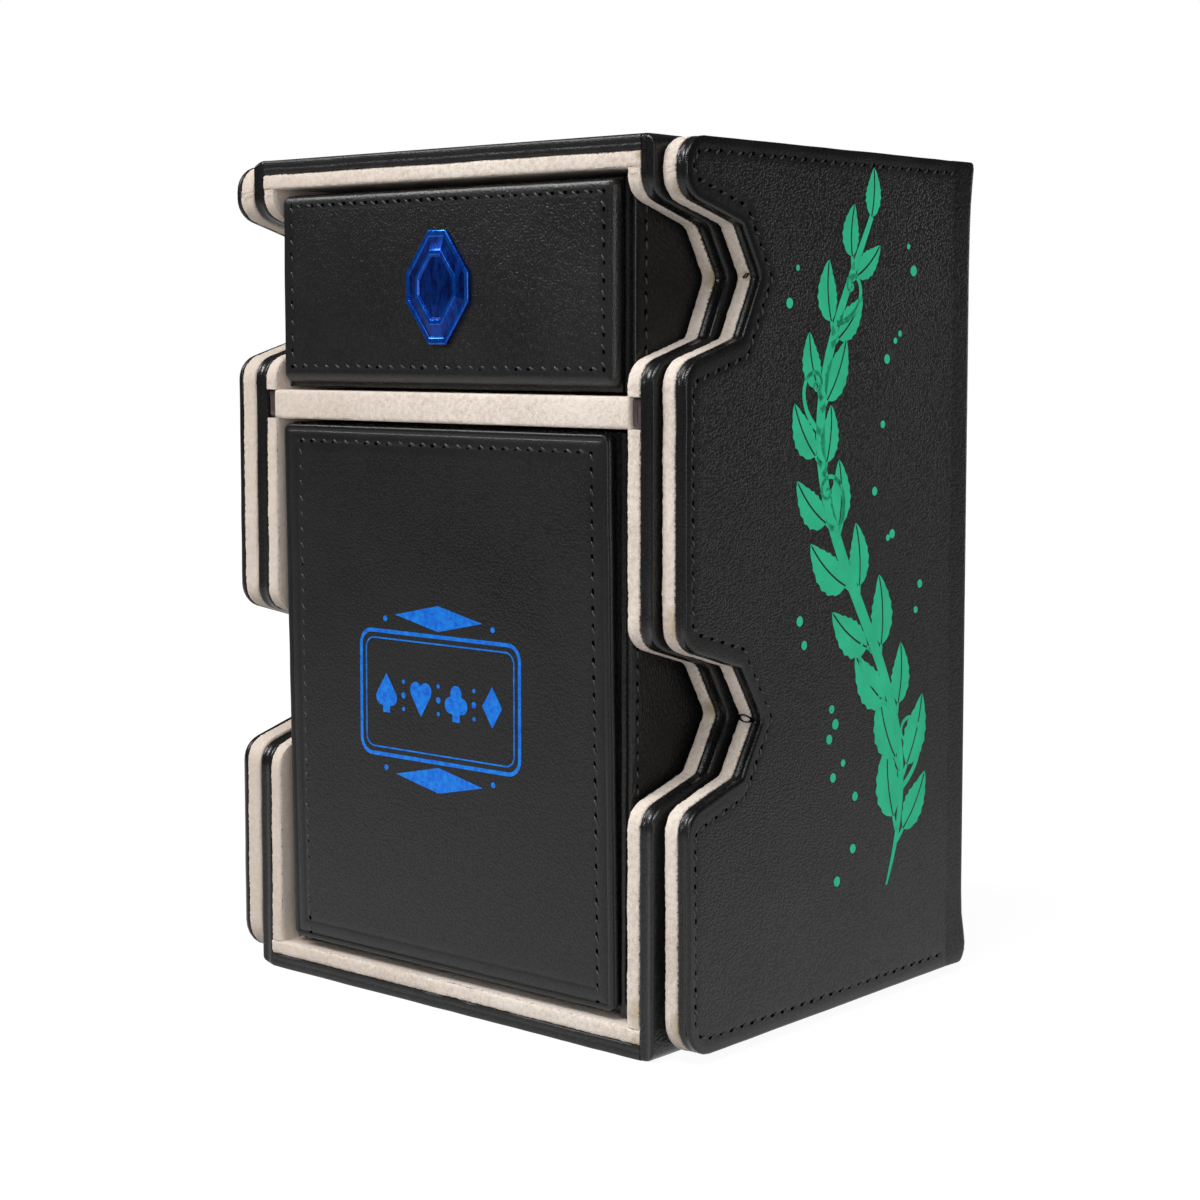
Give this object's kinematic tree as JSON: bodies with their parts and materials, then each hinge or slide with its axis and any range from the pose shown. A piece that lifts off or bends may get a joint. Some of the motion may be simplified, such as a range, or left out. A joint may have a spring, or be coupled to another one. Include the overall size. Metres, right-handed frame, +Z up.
{
  "type": "playing card box with drawers",
  "caption": "Leather-covered card box with a flat drawer over a tall card drawer, finger notches at the sides and two swing-open side flaps.",
  "frame": {"origin": "middle of the footprint, on the surface the box stands on", "axes": "+X to the right along the front, +Y to the back, +Z up; the drawers pull out towards -Y"},
  "size_m": [0.116, 0.0892, 0.16],
  "materials": {
    "leather_black": "satin fine pebble grain",
    "suede_beige": "short napped suede",
    "greyboard": "bare fibrous board",
    "keeper_steel": "plated",
    "magnet": "nickel plated",
    "badge_blue": "bright metallic blue facets",
    "thread_black": "waxed thread",
    "foil_blue": "stamped metallic foil",
    "print_green": "flat printed ink"
  },
  "bodies": {
    "case": {"case_top_cover": "leather_black", "case_top_board": "greyboard", "case_bottom_cover": "leather_black", "case_bottom_board": "greyboard", "case_left_cover": "leather_black", "case_left_board": "greyboard", "case_right_cover": "leather_black", "case_right_board": "greyboard", "case_back_cover": "leather_black", "case_back_board": "greyboard", "top_lining": "suede_beige", "floor_lining": "suede_beige", "upper_left_lining": "suede_beige", "upper_right_lining": "suede_beige", "lower_left_lining": "suede_beige", "lower_right_lining": "suede_beige", "upper_back_lining": "suede_beige", "lower_back_lining": "suede_beige", "middle_shelf": "suede_beige", "left_keepers": "keeper_steel", "right_keepers": "keeper_steel", "upper_keeper": "keeper_steel", "lower_keeper": "keeper_steel", "jacket_back_cover": "leather_black", "jacket_back_board": "greyboard", "left_spine": "leather_black", "right_spine": "leather_black"},
    "upper_drawer": {"upper_front_cover": "leather_black", "upper_front_board": "greyboard", "upper_front_wall": "leather_black", "upper_left_wall": "leather_black", "upper_right_wall": "leather_black", "upper_back_wall": "leather_black", "upper_floor": "leather_black", "upper_liner": "suede_beige", "upper_magnet": "magnet", "upper_badge": "badge_blue"},
    "lower_drawer": {"lower_front_cover": "leather_black", "lower_front_board": "greyboard", "lower_front_wall": "leather_black", "lower_left_wall": "leather_black", "lower_right_wall": "leather_black", "lower_back_wall": "leather_black", "lower_floor": "leather_black", "lower_liner": "suede_beige", "lower_magnet": "magnet"},
    "left_flap": {"left_flap_cover": "leather_black", "left_flap_board": "greyboard", "left_flap_lining": "suede_beige", "left_flap_magnets": "magnet"},
    "right_flap": {"right_flap_cover": "leather_black", "right_flap_board": "greyboard", "right_flap_lining": "suede_beige", "right_flap_magnets": "magnet"}
  },
  "joints": [
    {"name": "upper_drawer_slide", "type": "slide", "parent": "case", "child": "upper_drawer", "axis": [0, -1, 0], "range_m": [0, 0.075]},
    {"name": "lower_drawer_slide", "type": "slide", "parent": "case", "child": "lower_drawer", "axis": [0, -1, 0], "range_m": [0, 0.075]},
    {"name": "left_flap_hinge", "type": "hinge", "parent": "case", "child": "left_flap", "pos_m": [-0.05525, 0.04185, 0.08], "axis": [0, 0, -1], "range_deg": [0, 120]},
    {"name": "right_flap_hinge", "type": "hinge", "parent": "case", "child": "right_flap", "pos_m": [0.05525, 0.04185, 0.08], "axis": [0, 0, 1], "range_deg": [0, 120]}
  ]
}
